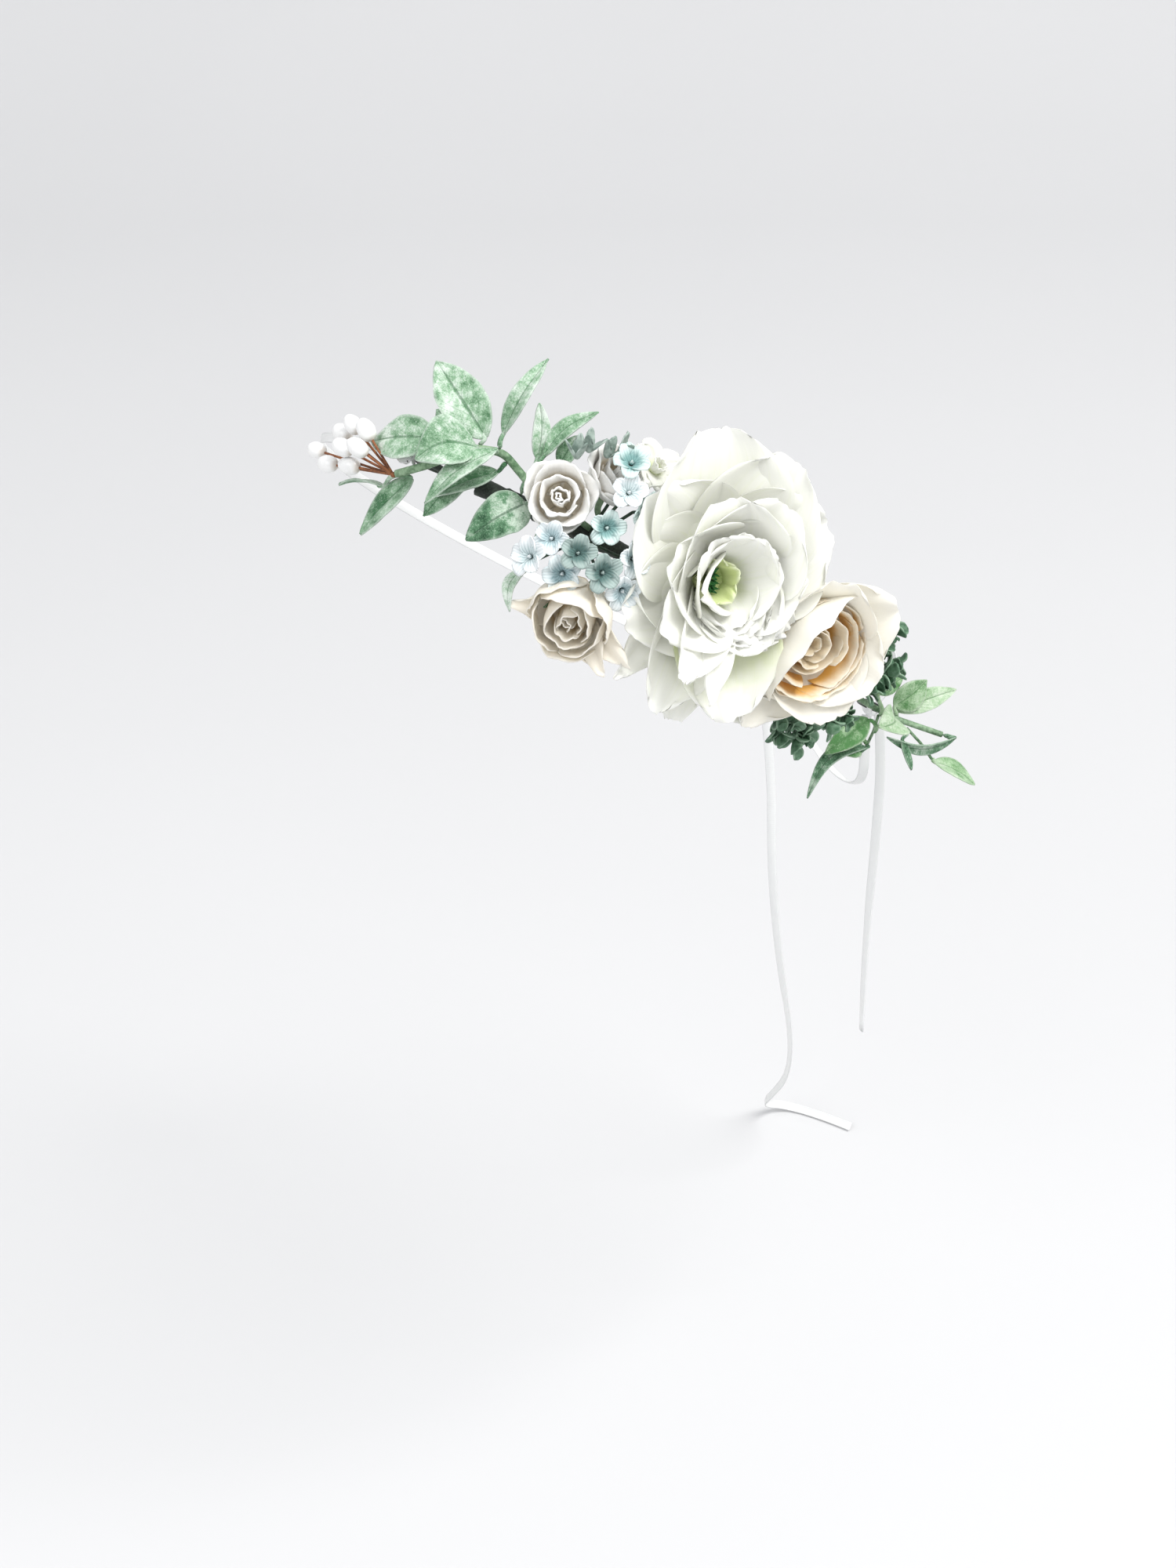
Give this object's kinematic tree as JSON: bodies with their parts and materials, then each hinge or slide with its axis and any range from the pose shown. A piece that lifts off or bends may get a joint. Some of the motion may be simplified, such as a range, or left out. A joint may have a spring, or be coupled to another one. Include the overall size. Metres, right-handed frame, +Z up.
{
  "type": "flower crown",
  "caption": "Half wreath of cloth and paper flowers, sage leaves and berries on a taped wire, tied round the head with narrow satin ribbon.",
  "frame": {"origin": "centre of the head opening, in the plane of the wire", "axes": "+Z up, -Y towards the wearer's forehead, +X towards the wearer's left; the wire's plane climbs 38 degrees towards the forehead"},
  "size_m": [0.1892, 0.2339, 0.3597],
  "materials": {
    "wire_wrap": "matt dark green paper wrap",
    "tape": "matt near-black floral tape",
    "stem_green": "matt green plastic",
    "petal_white": "fine white cloth, yellow-green towards the throat",
    "heart_green": "yellow-green cloth",
    "calyx_green": "matt green plastic",
    "petal_blush": "ivory cloth, apricot in the folds",
    "rose_paper": "thick off-white paper",
    "rosebud_cloth": "cream cloth, tan inner folds",
    "blossom_blue": "powder blue to grey-green cloth",
    "bud_grey": "grey-green cloth",
    "leaf_sage": "sage cloth with a frosted white flock",
    "leaf_sage_dark": "darker sage cloth with a frosted white flock",
    "boxwood_green": "matt dark green plastic",
    "berry_white": "glossy white",
    "berry_stem_brown": "rust brown wrapped wire",
    "satin": "white satin ribbon"
  },
  "bodies": {
    "crown": {"back_ribbon_hitch": "satin", "base_wire": "wire_wrap", "blossom_stems": "stem_green", "blue_blossoms": "blossom_blue", "blush_bloom_calyx": "calyx_green", "blush_bloom_inner_petals": "petal_blush", "blush_bloom_outer_petals": "petal_blush", "blush_bloom_stem": "stem_green", "bow_loop": "satin", "boxwood_buds": "boxwood_green", "boxwood_stems": "stem_green", "cream_rosebud_core": "rosebud_cloth", "cream_rosebud_petals": "rosebud_cloth", "cream_rosebud_sepals": "calyx_green", "cream_rosebud_stem": "stem_green", "curved_pale_leaf": "leaf_sage", "floral_tape": "tape", "front_ribbon_hitch": "satin", "grey_buds": "bud_grey", "left_stem_root": "stem_green", "low_rose_petals": "petal_white", "low_rose_stem": "stem_green", "paper_rose_core": "rose_paper", "paper_rose_petals": "rose_paper", "rear_ribbon_knot": "satin", "right_stem_root": "stem_green", "rose_leaf": "leaf_sage_dark", "rose_stems": "stem_green", "second_rose_core": "rose_paper", "second_rose_petals": "rose_paper", "slack_strand": "satin", "small_white_flower": "petal_white", "tie_strand": "satin", "upright_leaves": "leaf_sage", "white_bloom_calyx": "calyx_green", "white_bloom_heart": "heart_green", "white_bloom_inner_petals": "petal_white", "white_bloom_outer_petals": "petal_white", "white_bloom_stem": "stem_green"},
    "left_spray": {"left_spray_stem": "stem_green", "left_broad_leaves": "leaf_sage", "left_small_leaves": "leaf_sage"},
    "berry_spray": {"berry_stems": "berry_stem_brown", "berries": "berry_white"},
    "right_spray": {"right_spray_stem": "stem_green", "right_broad_leaves": "leaf_sage", "right_narrow_leaves": "leaf_sage_dark"},
    "side_tail": {"straight_tail": "satin"},
    "rear_tail": {"long_tail": "satin"}
  },
  "joints": [
    {"name": "left_spray_bend", "type": "hinge", "parent": "crown", "child": "left_spray", "pos_m": [0.04105, -0.07281, 0.0645], "axis": [0, 0.6157, 0.788], "range_deg": [0, 35]},
    {"name": "berry_spray_bend", "type": "hinge", "parent": "left_spray", "child": "berry_spray", "pos_m": [0.00914, -0.09096, 0.06269], "axis": [0, 0.6157, 0.788], "range_deg": [0, 30]},
    {"name": "right_spray_bend", "type": "hinge", "parent": "crown", "child": "right_spray", "pos_m": [0.07679, 0.03805, -0.03176], "axis": [0, -0.6157, -0.788], "range_deg": [0, 35]},
    {"name": "side_tail_swing", "type": "hinge", "parent": "crown", "child": "side_tail", "pos_m": [0.06623, 0.05758, -0.04631], "axis": [0.6712, -0.7413, 0], "range_deg": [0, 45]},
    {"name": "rear_tail_swing", "type": "hinge", "parent": "crown", "child": "rear_tail", "pos_m": [0.0006, 0.08327, -0.06848], "axis": [1, 0, 0], "range_deg": [0, 35]}
  ]
}
